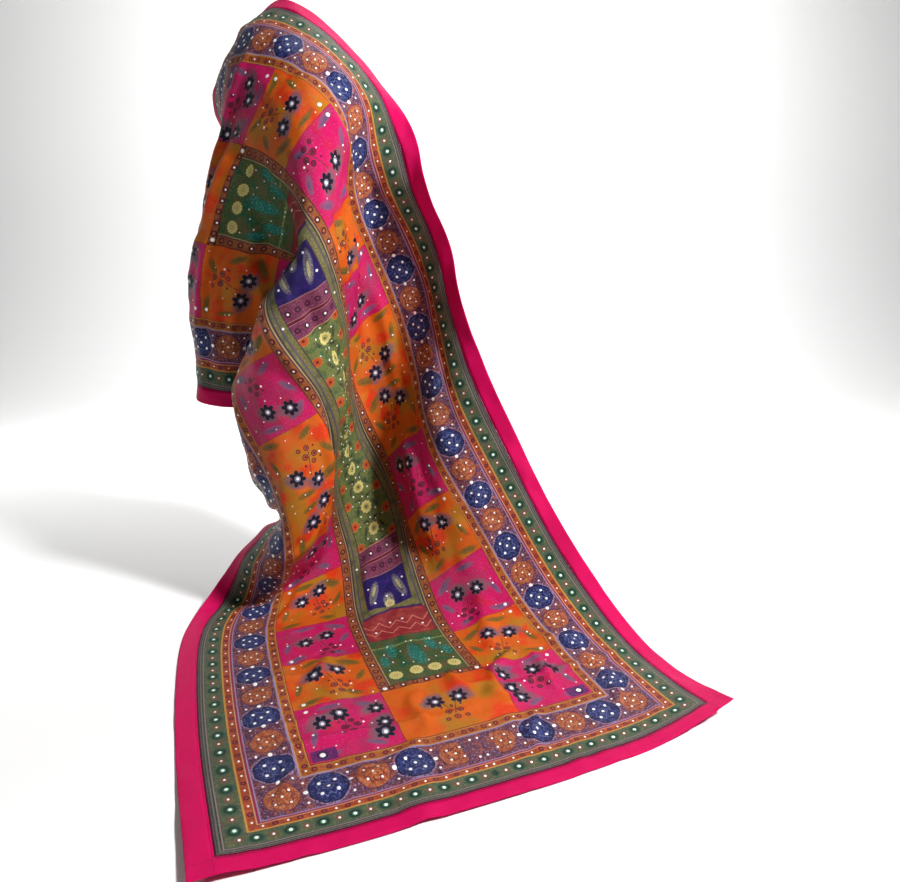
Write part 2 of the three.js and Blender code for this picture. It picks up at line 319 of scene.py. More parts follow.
def cloth_points(us, vs):
    p = surface(us, vs)
    n = normals(p)
    h = crease(us, vs)
    room = np.clip((p[..., 2] - FLOOR_Z - 6) / 40, 0.12, 1)  # little of it below, on the floor
    h = np.where(h > 0, h, h * room)
    p = p + n * h[..., None]
    p[..., 2] = np.maximum(p[..., 2], FLOOR_Z + 1.0)
    return p, normals(p)


# ============ meshes
def new_object(name, verts, faces, uvs=None, smooth=True, materials=(), index=None):
    me = bpy.data.meshes.new(name)
    me.from_pydata((np.asarray(verts) * 0.001).tolist(), [], [list(map(int, f)) for f in faces])
    for m in materials:
        me.materials.append(m)
    if index is not None:
        me.polygons.foreach_set("material_index", np.asarray(index, np.int32))
    me.polygons.foreach_set("use_smooth", np.full(len(faces), smooth))
    if uvs is not None:
        layer = me.uv_layers.new(name="cloth")
        loop = np.empty(len(me.loops), np.int32)
        me.loops.foreach_get("vertex_index", loop)
        layer.data.foreach_set("uv", np.asarray(uvs)[loop].astype(np.float32).ravel())
    me.update()
    ob = bpy.data.objects.new(name, me)
    bpy.context.collection.objects.link(ob)
    return ob


def shell(us, vs, thick, keep=None):
    """A closed thin shell over the fine lines. keep(i, j) picks cells. Gives vertices, faces, uvs and each
    face's (u, v, side) middle; side is 0 on the print, 1 on the back and 2 on the rim."""
    p, n = cloth_points(us, vs)
    nu, nv = len(us), len(vs)
    half = (np.asarray(thick, float) / 2 * np.ones((nu, nv)))[..., None]
    u, v = np.meshgrid(us, vs, indexing="ij")
    verts = np.concatenate([(p + n * half).reshape(-1, 3), (p - n * half).reshape(-1, 3)])
    uvs = np.stack([u.ravel() / WIDTH, v.ravel() / LENGTH], -1)
    uvs = np.concatenate([uvs, uvs])
    i, j = np.meshgrid(np.arange(nu - 1), np.arange(nv - 1), indexing="ij")
    on = np.ones((nu - 1, nv - 1), bool) if keep is None else keep(i, j)
    i, j = i[on], j[on]
    a, b, c, d = i * nv + j, (i + 1) * nv + j, (i + 1) * nv + j + 1, i * nv + j + 1
    m = nu * nv
    faces = [np.stack([a, b, c, d], -1), np.stack([a + m, d + m, c + m, b + m], -1)]
    um, vm = (us[i] + us[i + 1]) / 2, (vs[j] + vs[j + 1]) / 2
    mids = [np.stack([um, vm, 0 * um], -1), np.stack([um, vm, 0 * um + 1], -1)]
    on_pad = np.zeros((nu + 1, nv + 1), bool)
    on_pad[1:-1, 1:-1] = on
    for di, dj, corner in ((-1, 0, (3, 0)), (1, 0, (1, 2)), (0, -1, (0, 1)), (0, 1, (2, 3))):
        open_side = ~on_pad[i + 1 + di, j + 1 + dj]
        quad = np.stack([a, b, c, d], -1)[open_side]
        s, t = quad[:, corner[0]], quad[:, corner[1]]
        faces.append(np.stack([t, s, s + m, t + m], -1))
        mids.append(np.stack([um[open_side], vm[open_side], 0 * um[open_side] + 2], -1))
    faces, mids = np.concatenate(faces), np.concatenate(mids)
    used = np.unique(faces)
    remap = np.full(2 * m, -1)
    remap[used] = np.arange(len(used))
    return verts[used], remap[faces], uvs[used], mids


def fine(breaks, step):
    out = [breaks[0]]
    for lo, hi in zip(breaks[:-1], breaks[1:]):
        n = max(1, round((hi - lo) / step))
        out += [lo + (hi - lo) * (k + 1) / n for k in range(n)]
    return np.array(out, float)


# ============ a small language for the print
def rgb(*seen):
    """A colour as seen, 0..255 each, as the linear colour that a shader takes."""
    linear = [((c / 255 + 0.055) / 1.055) ** 2.4 if c > 10 else c / 255 / 12.92 for c in seen]
    return (*linear, 1.0)


def fill(tree, node, inputs):
    """Links or sets the named inputs of a node: a Value or a socket is linked, anything else is set."""
    for place, value in inputs.items():
        value = value.socket if isinstance(value, Value) else value
        if isinstance(value, bpy.types.NodeSocket):
            tree.links.new(value, node.inputs[place])
        else:
            node.inputs[place].default_value = value
    return node


class Print:
    """Paints one material's colour out of maths nodes. x, y are the flat cloth's millimetres."""

    def __init__(self, name, ground):
        self.material = bpy.data.materials.new(name)
        self.material.use_nodes = True
        self.tree = self.material.node_tree
        self.tree.nodes.clear()
        self.colour = ground
        uv = self.node("UVMap", {})
        uv.uv_map = "cloth"
        self.uv = uv.outputs[0]
        split = self.node("SeparateXYZ", {0: self.uv})
        self.x = Value(self, split.outputs[0]) * WIDTH
        self.y = Value(self, split.outputs[1]) * LENGTH
        self.X = self.low(self.x, WIDTH - self.x)  # the print is the same from both long edges
        self.Y = self.low(self.y, LENGTH - self.y)  # and from both ends

    def node(self, kind, inputs):
        return fill(self.tree, self.tree.nodes.new("ShaderNode" + kind), inputs)

    def math(self, op, *args):
        n = self.tree.nodes.new("ShaderNodeMath")
        n.operation = op
        return Value(self, fill(self.tree, n, dict(enumerate(args))).outputs[0])

    def mix(self, base, top, share, mode="MIX"):
        """A share of top laid over base; each is a colour, a Value or a socket."""
        n = self.tree.nodes.new("ShaderNodeMix")
        n.data_type, n.blend_type = "RGBA", mode
        base, top = [rgb(*c) if isinstance(c, tuple) else c for c in (base, top)]
        return fill(self.tree, n, {"Factor": share, 6: base, 7: top}).outputs[2]

    def paint(self, mask, colour):
        """The colour painted over what is there, where mask is 1."""
        self.colour = self.mix(self.colour, colour, mask)

    def low(self, a, b):
        return self.math("MINIMUM", a, b)

    def high(self, a, b):
        return self.math("MAXIMUM", a, b)

    def between(self, a, lo, hi):
        return (a > lo) * (a < hi)

    def choose(self, mask, yes, no):
        return mask * yes + (1 - mask) * no

    def pick(self, row, values):
        """values[row] for a whole-number row."""
        return sum((self.math("COMPARE", row, k, 0.5) * v for k, v in enumerate(values)), 0.0)

    def disc(self, dx, dy, r):
        return (dx * dx + dy * dy) < r * r

    def ring(self, dx, dy, r0, r1):
        q = dx * dx + dy * dy
        return (q > r0 * r0) * (q < r1 * r1)

    def star(self, dx, dy, r, petals, deep):
        """A flower of so many petals, cut in by the share deep between them."""
        reach = self.math("COSINE", self.math("ARCTAN2", dy, dx) * petals) * (r * deep) + r * (1 - deep)
        return self.math("SQRT", dx * dx + dy * dy) < reach

    def blossom(self, dx, dy, r, petals, turn):
        """Round petals in a ring that ends at r."""
        q = self.math("SQRT", dx * dx + dy * dy)
        step = 2 * math.pi / petals
        swing = ((self.math("ARCTAN2", dy, dx) * (1 / step) + turn).fract() - 0.5) * step
        out, side = (q - r * 0.66) * (1 / (r * 0.36)), q * swing * (1 / (r * 0.27))
        return (out * out + side * side) < 1.0

    def blotch(self, dx, dy, angle, long, wide):
        """A smudge, 1 in its middle and 0 from its rim on."""
        c, s = math.cos(angle), math.sin(angle)
        a, b = (dx * c + dy * s) * (1 / long), (dy * c - dx * s) * (1 / wide)
        return self.high(1 - a * a - b * b, 0.0)

    def noise(self, scale, detail=2.0, stretch=1.0, seed=0.0, cells=False):
        """Mottling, or the distance to the walls of cells. scale is in cells a metre of cloth."""
        m = self.node("Mapping", {"Vector": self.uv, "Scale": (1, stretch * LENGTH / WIDTH, 1),
                                  "Location": (seed, seed * 0.37, 0)})
        if not cells:
            spots = {"Vector": m.outputs[0], "Scale": scale, "Detail": detail}
            return Value(self, self.node("TexNoise", spots).outputs[0])
        n = self.node("TexVoronoi", {"Vector": m.outputs[0], "Scale": scale})
        n.feature = "DISTANCE_TO_EDGE"
        return Value(self, n.outputs["Distance"])

    def finish(self, back=False, rough=0.42, bump=1.0, spec=0.22):
        """Satin round the colour: cross-threads, fine crumple, soft gloss. The back is a washed print."""
        tone = self.noise(7.0, 3.0, seed=3.1) * 0.3 + 0.66  # slow unevenness of the dye
        colour = self.mix(self.colour, tone, 1.0, "MULTIPLY")
        if back:
            colour = self.mix(colour, (120, 50, 45), 0.35)
        warp, weft = [self.math("SINE", q * (2 * math.pi / THREAD)) for q in (self.x, self.y)]
        crumple = self.noise(38.0, 4.0, seed=1.7) * 1.2 + self.noise(11.0, 2.0, 0.45, seed=5.2) * 2.4
        folds = (self.noise(8.0, 2.5, 0.6, seed=7.9) - 0.5).abs() * 9.0  # sharp lines where satin creases
        relief = self.node("Bump", {"Strength": 0.7, "Distance": 0.0028 * bump,
                                    "Height": warp * weft * 0.12 + crumple + folds})
        satin = self.node("BsdfPrincipled", {"Base Color": colour, "Roughness": rough,
                                             "Specular IOR Level": spec, "Normal": relief.outputs[0]})
        self.node("OutputMaterial", {0: satin.outputs[0]})
        return self.material


class Value:
    """One number of the shader, with ordinary arithmetic."""

    def __init__(self, graph, socket):
        self.g, self.socket = graph, socket

    def __add__(self, o):
        return self.g.math("ADD", self, o)

    __radd__ = __add__

    def __mul__(self, o):
        return self.g.math("MULTIPLY", self, o)

    __rmul__ = __mul__

    def __sub__(self, o):
        return self.g.math("SUBTRACT", self, o)

    def __rsub__(self, o):
        return self.g.math("SUBTRACT", o, self)

    def __lt__(self, o):
        return self.g.math("LESS_THAN", self, o)

    def __gt__(self, o):
        return self.g.math("GREATER_THAN", self, o)

    def floor(self):
        return self.g.math("FLOOR", self)

    def fract(self):
        return self.g.math("FRACT", self)

    def abs(self):
        return self.g.math("ABSOLUTE", self)


# ============ the print's layout, millimetres
PITCH_SIDE, PITCH_END = 76.6, 75.7  # medallion to medallion
MEDALLION_IN = 152.0  # border middle from a long edge
MEDALLION_UP = 127.0  # border middle from an end
BAND_IN, RED_IN, GOLD_IN = 72.0, 99.3, 201.0  # rows of ringed dots, from a long edge
NARROW, SHIFT = 1.281, 25.0  # the end borders are narrower: outer bands squeezed, inner ones moved
FIELD_IN, FIELD_UP = 212.0, 187.0  # where the patched field starts
PATCH = 168.8  # patch height; six from each end
PANEL_IN = 385.0  # the middle panel's side
PANEL_UP = FIELD_UP + PATCH
GREEN, ARCH, VIOLET, MAUVE, MEADOW = 372.0, 556.0, 663.0, 783.0, 868.0  # blocks of the panel, from an end
FLOWER_STEP = 60.0  # flower to flower along the meadow
FRAME_IN, RING_STEP = 396.5, 25.5  # middle of the panel's gold frame, and ring to ring along it
THREAD = 1.1  # wave of the weave

C = dict(pink=(214, 6, 98), orange=(226, 98, 8), band=(74, 92, 70), navy=(26, 30, 84), ink=(14, 10, 34),
         rust=(160, 66, 32), gold=(184, 100, 36), straw=(202, 146, 64), lilac=(158, 136, 178),
         olive=(112, 108, 60), teal=(10, 112, 100), violet=(34, 16, 92), mauve=(120, 46, 82),
         wine=(104, 16, 42), edge=(222, 0, 94), brick=(134, 34, 40))
STRIPES = [  # plain stripes of the border: from, to, colour
    (40.0, 43.2, (34, 8, 34)), (52.6, 54.2, (150, 128, 128)), (89, 92.5, C["straw"]),
    (105.5, 107.5, (204, 158, 120)), (107.5, 111.5, (158, 40, 70)), (111.5, 114, C["lilac"]),
    (187.5, 190.5, C["lilac"]), (190.5, 192.5, C["straw"]), (208.5, 210.5, C["straw"]),
    (210.5, 240, C["brick"]),
]


def edge_print(name, back):
    """The plain edge, the same on its back, with a line of machine stitches."""
    g = Print(name, C["edge"])
    g.paint(g.noise(24.0, 3.0, seed=8.0) * 0.35, (200, 0, 80))
    seam = g.high(g.between(g.X, 36.4, 37.3), g.between(g.Y, 27.6, 28.5))
    g.paint(seam * (g.math("SINE", (g.x + g.y) * (2 * math.pi / 3.2)) > -0.3), (140, 0, 58))
    return g.finish(rough=0.45, bump=0.7, spec=0.1)


def border_print(name, back):
    """Everything between the plain edge and the field: stripes, dotted bands and the medallions."""
    g = Print(name, (104, 108, 96))
    dy = g.low(g.Y * NARROW, g.Y + SHIFT)
    d = g.low(g.X, dy)
    side = g.X < dy
    t = g.choose(side, (g.Y - MEDALLION_UP) * (1 / PITCH_SIDE), (g.X - MEDALLION_IN) * (1 / PITCH_END))
    blot, fleck, grain = g.noise(60.0, 3.0, seed=2.0), g.noise(260.0, seed=4.0), g.noise(120.0, seed=9.0)
    scroll = g.noise(150.0, seed=6.0, cells=True)
    # thin stripes next to the edge
    g.paint((d * (1 / 5.2)).fract() > 0.55, (58, 50, 58))
    g.paint((fleck - 0.5) * 3.0, (128, 118, 104))
    # green band with ringed mirrors
    band = g.between(d, 55.5, 89)
    g.paint(band, C["band"])
    g.paint(band * (grain - 0.48) * 5.0, (98, 110, 66))
    g.paint(band * (fleck > 0.60), (126, 116, 84))
    g.paint(band * (blot - 0.55) * 6.0, (110, 84, 70))
    bx, by = ((t * 1.5 + 0.5).fract() - 0.5) * (PITCH_SIDE / 1.5), d - BAND_IN
    g.paint(g.blotch(bx, by, 0.0, 15, 15) * 1.6, (34, 78, 58))
    g.paint(g.ring(bx, by, 4.4, 9.6), (22, 50, 42))
    g.paint(g.ring(bx, by, 3.0, 5.6), (52, 128, 88))
    sx = ((t * 1.5).fract() - 0.5) * (PITCH_SIDE / 1.5)
    g.paint(g.ring(sx, by, 2.4, 6.4), (132, 78, 62))
    # orange-red dotted band
    red = g.between(d, 92.5, 105.5)
    g.paint(red, C["rust"])
    g.paint(red * (grain - 0.48) * 5.0, (198, 92, 56))
    dot = ((t * 2.0).fract() - 0.5) * (PITCH_SIDE / 2)
    g.paint(g.ring(dot, d - RED_IN, 2.2, 5.2), (104, 24, 48))
    # medallion band: a mottled ground, orange medallions sunk in it, navy ones standing out
    row = g.between(d, 114, 190)
    g.paint(row, (104, 58, 80))
    g.paint(row * (blot - 0.46) * 7.0, (166, 82, 50))
    g.paint(row * (fleck - 0.54) * 9.0, C["lilac"])
    g.paint(row * (scroll < 0.05), (60, 24, 60))
    k = (t + 0.5).floor()
    mx, my = (t - k) * PITCH_SIDE, d - MEDALLION_IN
    whole = (g.X < 470) + side > 0.5  # none across the middle of an end
    half = (k * 0.5).fract()
    odd, even = (half > 0.25) * whole * row, (half < 0.25) * whole * row
    q = g.math("SQRT", mx * mx + my * my)
    petal = g.math("COSINE", g.math("ARCTAN2", my, mx) * 8.0)
    g.paint(even * g.between(q, 28.0, 31.0) * (fleck * 6.0 - 2.4), (92, 46, 76))
    disc = even * (q < 29.0)
    g.paint(disc, (176, 84, 40))
    g.paint(disc * (grain - 0.47) * 7.0, (206, 128, 72))
    g.paint(disc * (scroll < 0.045), (118, 46, 50))
    g.paint(disc * (fleck > 0.61), (206, 148, 110))
    g.paint(disc * g.between(q + petal * 2.4, 15.0, 17.4), (112, 40, 62))
    g.paint(disc * (fleck * 3.0 - 1.5) * (q > 22), (120, 70, 100))
    g.paint(odd * (q < 38.0) * (fleck * 6.0 - 2.4), C["lilac"])
    disc = odd * (q + petal * 0.8 < 34.5)
    g.paint(disc, (14, 14, 50))
    g.paint(disc * (q < 32.0), C["navy"])
    g.paint(disc * (q < 32.0) * (grain - 0.47) * 6.0, (52, 62, 126))
    g.paint(disc * g.between(q + petal * 2.6, 17.0, 19.0), (92, 104, 158))
    g.paint(disc * g.between(q + petal * 1.2, 7.0, 8.6), (92, 104, 158))
    g.paint(disc * (q < 32.0) * (fleck > 0.63), (116, 128, 168))
    # gold band next to the field
    gold = g.between(d, 190.5, 230)
    g.paint(gold, C["gold"])
    g.paint(gold * (grain - 0.47) * 6.0, (150, 62, 50))
    gx, gy = ((t * 3.0).fract() - 0.5) * (PITCH_SIDE / 3), d - GOLD_IN
    g.paint(g.ring(gx, gy, 2.4, 5.6), (110, 28, 50))
    for lo, hi, colour in STRIPES:
        g.paint(g.between(d, lo, hi), colour)
    return g.finish(back)


PATCHES = [  # for each row of patches from an end: where the two flowers and the berries lie in the patch
    ((78, 122), (146, 44), (92, 74)),  # pink
    ((57, 100), (107, 111), (101, 40)),  # orange, and so on in turn
    ((62, 88), (114, 104), (113, 34)),
    ((60, 108), (106, 128), (112, 62)),
    ((78, 112), (128, 126), (74, 40)),
    ((58, 108), (104, 136), (108, 66)),
]
MIDDLE_PATCH = ((263, 95), (999, 0), (288, 46))  # the same; its second flower falls outside it
CORNER_FLOWERS = ((42, 104), (154, 74), (150, 122))  # three more in a corner patch
CORNER_BLOCK = (24, 19)  # middle of its violet block


def field_print(name, back):
    """The patches of the field, outside the middle panel."""
    g = Print(name, C["pink"])
    blot, fleck = g.noise(34.0, 3.0, seed=2.6), g.noise(240.0, seed=4.4)
    slow, other = g.noise(12.0, seed=6.3), g.noise(15.0, seed=11.3)
    row = ((g.Y - FIELD_UP) * (1 / PATCH)).floor()
    centre = (g.X > PANEL_IN) * (row < 0.5)  # the short patch between the two corner patches
    a = g.X - FIELD_IN
    b = g.Y - FIELD_UP - row * PATCH
    odd = (row * 0.5).fract() > 0.25
    orange = g.high(odd, centre)
    pink = 1 - orange
    corner = (row < 0.5) * (1 - centre)
    plain = 1 - centre
    # grounds: uneven dye, orange-red in places
    g.paint(orange, C["orange"])
    g.paint(pink * (slow - 0.52) * 5.0, (180, 40, 92))
    g.paint(pink * (0.44 - other) * 6.0, (214, 26, 66))
    g.paint(orange * (slow - 0.50) * 8.0, (190, 122, 20))
    g.paint(orange * (0.48 - other) * 9.0, (232, 58, 6))
    g.paint(pink * (fleck - 0.56) * 6.0, (190, 84, 128))
    g.paint(orange * (fleck - 0.60) * 6.0, (206, 150, 60))
    # grey and green smudged leaves in the corners of a patch
    rub = fleck * 4.0 - 1.0
    for dx, dy, angle, long, wide in ((34, 14, 0.2, 30, 10), (138, 138, -0.5, 32, 12), (20, 66, 1.3, 26, 8),
                                      (152, 80, 1.0, 24, 9), (64, 152, 0.1, 30, 9), (124, 22, -0.4, 24, 9)):
        m = g.blotch(a - dx, b - dy, angle, long, wide) * plain * rub * 1.5
        g.paint(m * pink, (128, 88, 124))
        g.paint(m * orange, (126, 98, 32))
        m = g.blotch(a - dx - 3, b - dy - 2, angle, long * 0.5, wide * 0.4) * plain * (fleck * 8.0 - 3.4)
        g.paint(m * pink, (84, 74, 116))
        g.paint(m * orange, (84, 86, 44))

    def place(column):
        """Where this flower, or the berries, lie in the patch."""
        rows = [g.pick(row, [p[column][k] for p in PATCHES]) for k in (0, 1)]
        return [g.choose(centre, middle, one) for middle, one in zip(MIDDLE_PATCH[column], rows)]

    # stems
    bx, by = place(2)
    u, v = a - bx, b - by
    stem = g.between(u + v * 0.35, -1.2, 1.2) * g.between(v, 0, 52) * (fleck > 0.40)
    g.paint(stem, (92, 58, 40))
    # berries: outlined rings and some seeds
    tint = g.mix((150, 26, 62), (190, 84, 34), orange)
    for dx, dy, r in ((-12, 8, 7.4), (11, 10, 7.4), (0, -10, 7.0), (3, 25, 6.2), (-20, -12, 5.2)):
        g.paint(g.disc(u - dx, v - dy, r), (72, 24, 48))
        g.paint(g.disc(u - dx, v - dy, r - 2.2), tint)
        g.paint(g.disc(u - dx - 0.6, v - dy, r - 4.6), (62, 26, 56))
    for dx, dy in ((17, -8), (23, 24), (-20, 26)):
        g.paint(g.disc(u - dx, v - dy, 2.6), (88, 26, 44))

    def flower(fx, fy, r, turn, where=1.0):
        """A star flower on its smudge, where the mask is 1."""
        dx, dy = a - fx, b - fy
        g.paint(g.blotch(dx + 7, dy - 5, 0.6, 34, 20) * rub * 1.3 * where, (124, 92, 104))
        g.paint(g.blossom(dx, dy, r + 1.6, 7, turn) * (fleck > 0.46) * where, (96, 92, 122))
        g.paint(g.blossom(dx, dy, r, 7, turn) * where, C["ink"])
        g.paint(g.disc(dx, dy, r * 0.44) * where, (34, 28, 58))
        g.paint(g.disc(dx, dy, r * 0.36) * where, (150, 144, 164))

    flower(*place(0), 19.0, 0.0)
    flower(*place(1), 19.0, 0.45)
    for (fx, fy), turn in zip(CORNER_FLOWERS, (0.2, 0.6, 0.1)):
        flower(fx, fy, 17.0, turn, corner)
    # the corner patch has a small violet block too
    g.paint(corner * g.between(a, 4, 50) * g.between(b, 4, 34) * (fleck * 4.0 - 0.8), (96, 34, 104))
    g.paint(corner * g.ring(a - CORNER_BLOCK[0], b - CORNER_BLOCK[1], 6, 10), (48, 22, 76))
    # seams between the patches
    line = g.high(g.between(b, -1, 1.3), g.between(g.X, PANEL_IN - 1.3, PANEL_IN + 0.5))
    g.paint(line * (blot > 0.35), (140, 56, 30))
    return g.finish(back)


def panel_print(name, back):
    """The framed middle panel, the same from both ends."""
    g = Print(name, (108, 120, 62))
    X, Y = g.X, g.Y
    blot, fleck = g.noise(40.0, 3.0, seed=1.1), g.noise(250.0, seed=7.7)
    # the long meadow: orange flowers along both sides, cream ones down its middle
    g.paint((blot - 0.46) * 8.0, (72, 98, 58))
    g.paint((fleck - 0.52) * 8.0, (142, 134, 70))
    g.paint((0.42 - blot) * 8.0, (38, 92, 62))
    beat = (Y - MEADOW) * (1 / FLOWER_STEP)
    ox, along = X - 450.0, ((beat - 0.6).fract() - 0.5) * FLOWER_STEP
    g.paint(g.star(ox, along, 14.5, 9, 0.10), (176, 124, 58))
    g.paint(g.disc(ox, along, 10.5), (196, 82, 32))
    g.paint(g.disc(ox, along, 3.6), (112, 30, 26))
    cx, far = X - 500.0, ((beat - 0.1).fract() - 0.5) * FLOWER_STEP
    g.paint(g.star(cx, far, 19.0, 10, 0.06), (84, 104, 56))
    g.paint(g.star(cx, far, 17.0, 10, 0.07), (222, 210, 132))
    g.paint(g.ring(cx, far, 5.0, 8.0), (176, 150, 70))
    g.paint(g.disc(cx, far, 4.0), (74, 100, 66))
    for dx, angle in ((474.0, 1.1), (482.0, -0.5)):
        m = g.blotch(X - dx, far - (dx - 474.0) * 3.5, angle, 18, 6) * (fleck * 6.0 - 2.2)
        g.paint(m, (46, 40, 42))
    # two mauve bands
    m = Y < MEADOW
    g.paint(m, C["mauve"])
    g.paint(m * (fleck - 0.5) * 6.0, (150, 92, 104))
    mid = (MAUVE + MEADOW) / 2
    g.paint(g.between(Y, mid - 3.2, mid + 3.2), C["wine"])
    g.paint(g.between((Y - mid).abs(), 3.2, 4.6), (188, 126, 130))
    zx = ((X - 440.0) * (1 / 24.0)).fract() * 24.0 - 12.0
    for row in (mid - 21, mid + 21):
        g.paint(m * g.ring(zx, Y - row, 2.6, 7.0), (70, 20, 52))
    g.paint(g.between(Y, MEADOW - 2.5, MEADOW), (196, 140, 96))
    # violet block with curled leaf figures
    m = Y < MAUVE
    g.paint(m, C["violet"])
    g.paint(m * (blot - 0.54) * 8.0, (54, 30, 122))
    vy = Y - (VIOLET + MAUVE) / 2
    for dx, dy, angle, long, wide in ((464, 6, 1.25, 42, 12), (497, -24, 1.57, 28, 13)):
        px, py = X - dx, vy - dy
        g.paint(m * g.blotch(px, py, angle, long, wide) * (fleck * 7.0 - 2.2), (142, 136, 136))
        g.paint(m * g.blotch(px - 1, py, angle, long - 12, wide - 5) * (fleck * 8.0 - 3.0), (60, 52, 84))
        g.paint(m * g.blotch(px - 2, py - 6, angle, long - 22, 4) * 3.0, (180, 170, 120))
    g.paint(m * g.star(cx, vy + 34, 14, 10, 0.08), (214, 202, 140))
    g.paint(m * g.ring(cx, vy + 34, 3, 5), (150, 120, 70))
    g.paint(g.between(Y, MAUVE - 2.5, MAUVE), (158, 108, 110))
    # olive frame of the violet block and beyond
    m = g.between(X, 415, 441) * (Y > VIOLET - 34) + g.between(Y, VIOLET - 4, VIOLET + 16) > 0.5
    g.paint(m, C["olive"])
    g.paint(m * (fleck - 0.5) * 7.0, (148, 136, 88))
    g.paint(m * (blot - 0.52) * 6.0, (86, 90, 56))
    g.paint(g.between(X, 438.5, 441) * (Y > VIOLET + 14), (70, 44, 72))
    g.paint(g.between(X, 421.5, 426) * (Y > ARCH), (92, 78, 96))
    # red arch with pale zigzags
    arch = g.math("SINE", cx * -0.0125) * 26.0
    red = (Y < VIOLET + 4.0 - arch) * (X > 414)
    g.paint(g.between(Y + arch, VIOLET + 4.0, VIOLET + 11.0) * (X > 420), (72, 26, 84))
    g.paint(red, (150, 42, 48))
    g.paint(red * (blot - 0.5) * 6.0, (178, 76, 66))
    fold = ((cx * (1 / 44.0)).fract() - 0.5).abs() * 44.0
    for up in (18.0, 46.0):
        line = g.between(Y - ARCH - up - fold, -1.8, 1.8)
        g.paint(red * line * (fleck * 6.0 - 1.8), (222, 132, 116))
    # green block with teal drops and four cream flowers
    gy = Y - GREEN
    m = (Y < ARCH) * (Y > GREEN)
    g.paint(m, (58, 90, 52))
    g.paint(m * (fleck - 0.48) * 7.0, (104, 108, 58))
    g.paint(m * (blot - 0.54) * 8.0, (110, 88, 60))
    g.paint(m * (0.45 - blot) * 9.0, (22, 96, 66))
    for dx, dy, long, wide in ((499, 96, 50, 19), (452, 130, 36, 15), (427, 92, 26, 12)):
        drop = m * g.blotch(X - dx, gy - dy, 1.45, long, wide)
        g.paint(drop * (fleck * 6.0 - 1.6), C["teal"])
        g.paint(drop * (fleck - 0.55) * 20.0, (86, 178, 158))
    g.paint(m * g.between(gy, 146, 152) * (fleck - 0.4) * 6.0, (146, 168, 104))
    for across in (433, 479):
        dx, dy = X - across, gy - 32.0
        g.paint(m * g.star(dx, dy, 17.0, 12, 0.06), (100, 112, 50))
        g.paint(m * g.star(dx, dy, 15.5, 12, 0.06), (222, 210, 134))
        g.paint(m * g.ring(dx, dy, 8.0, 9.4), (196, 178, 98))
        g.paint(m * g.ring(dx, dy, 3.0, 5.0), (164, 130, 66))
    g.paint(g.between(Y, ARCH - 3, ARCH) * (X > 408), (110, 38, 50))
    # outer gold band with ringed dots
    out = (X < 408.0) + (Y < GREEN) > 0.5
    g.paint(out, (160, 88, 44))
    g.paint(out * (blot - 0.48) * 6.0, (142, 66, 50))
    g.paint(out * (fleck - 0.56) * 8.0, (196, 134, 80))
    ends = Y < GREEN
    s = g.choose(ends, cx, Y - 396.0) * (1 / RING_STEP)
    rx = (s.fract() - 0.5) * RING_STEP
    ry = g.choose(ends, Y - (PANEL_UP + GREEN) / 2, X - FRAME_IN)
    g.paint(out * g.ring(rx, ry, 3.0, 7.2), (96, 34, 38))
    g.paint(out * g.ring(rx, ry, 1.4, 3.0), (196, 120, 60))
    for lo, hi, tint in ((PANEL_IN - 1, PANEL_IN + 1.6, (74, 30, 36)), (405.8, 408.6, (70, 50, 62)),
                         (408.6, 411.4, (176, 150, 96))):
        g.paint(g.between(X, lo, hi) * (Y > GREEN - 2), tint)
    g.paint(g.between(X, 411.4, 415.5) * (Y > ARCH), (66, 52, 66))
    g.paint(g.between(Y, GREEN - 2.4, GREEN), (92, 30, 46))
    g.paint(g.between(Y, PANEL_UP - 1, PANEL_UP + 1.6), (74, 30, 36))
    return g.finish(back)


KINDS = [("border", border_print), ("field", field_print), ("middle", panel_print), ("edge", edge_print)]
FRONT, BACK = [{kind: make(kind + word, back) for kind, make in KINDS}
               for word, back in (("_front", False), ("_back", True))]


# ============ the cloth and its edge
U_BREAKS = [SIDE_EDGE, FIELD_IN, PANEL_IN, WIDTH - PANEL_IN, WIDTH - FIELD_IN, WIDTH - SIDE_EDGE]
V_BREAKS = [END_EDGE, FIELD_UP, PANEL_UP, LENGTH - PANEL_UP, LENGTH - FIELD_UP, LENGTH - END_EDGE]
us, vs = fine(U_BREAKS, STEP), fine(V_BREAKS, STEP)


def zone(mids):
    X, Y = np.minimum(mids[:, 0], WIDTH - mids[:, 0]), np.minimum(mids[:, 1], LENGTH - mids[:, 1])
    field = (X > FIELD_IN) & (Y > FIELD_UP)
    middle = (X > PANEL_IN) & (Y > PANEL_UP)
    return np.where(middle, 2, np.where(field, 1, 0))


verts, faces, uvs, mids = shell(us, vs, CLOTH)
looks = [side[kind] for side in (FRONT, BACK) for kind in ("border", "field", "middle")]
panel = new_object("printed_cloth", verts, faces, uvs, materials=looks,
                   index=zone(mids) + 3 * (mids[:, 2] > 0.5))


def edge_lines(wide, size, inner):
    """Fine lines over the whole cloth: the turned edge's own, and the inner ones between them."""
    rim = fine([0.0, 2.0, 8.0, wide - SEAM], 8.0)
    return np.concatenate([rim, inner[1:-1], size - rim[::-1]])


edge_us, edge_vs = edge_lines(SIDE_EDGE, WIDTH, us), edge_lines(END_EDGE, LENGTH, vs)
uu, vv = np.meshgrid(edge_us, edge_vs, indexing="ij")
inward = np.minimum(np.minimum(uu, WIDTH - uu), np.minimum(vv, LENGTH - vv))
thick = np.interp(inward, *zip(*EDGE_SHAPE))


def in_edge(i, j):
    u, v = (edge_us[i] + edge_us[i + 1]) / 2, (edge_vs[j] + edge_vs[j + 1]) / 2
    return (np.minimum(u, WIDTH - u) < SIDE_EDGE - SEAM) | (np.minimum(v, LENGTH - v) < END_EDGE - SEAM)


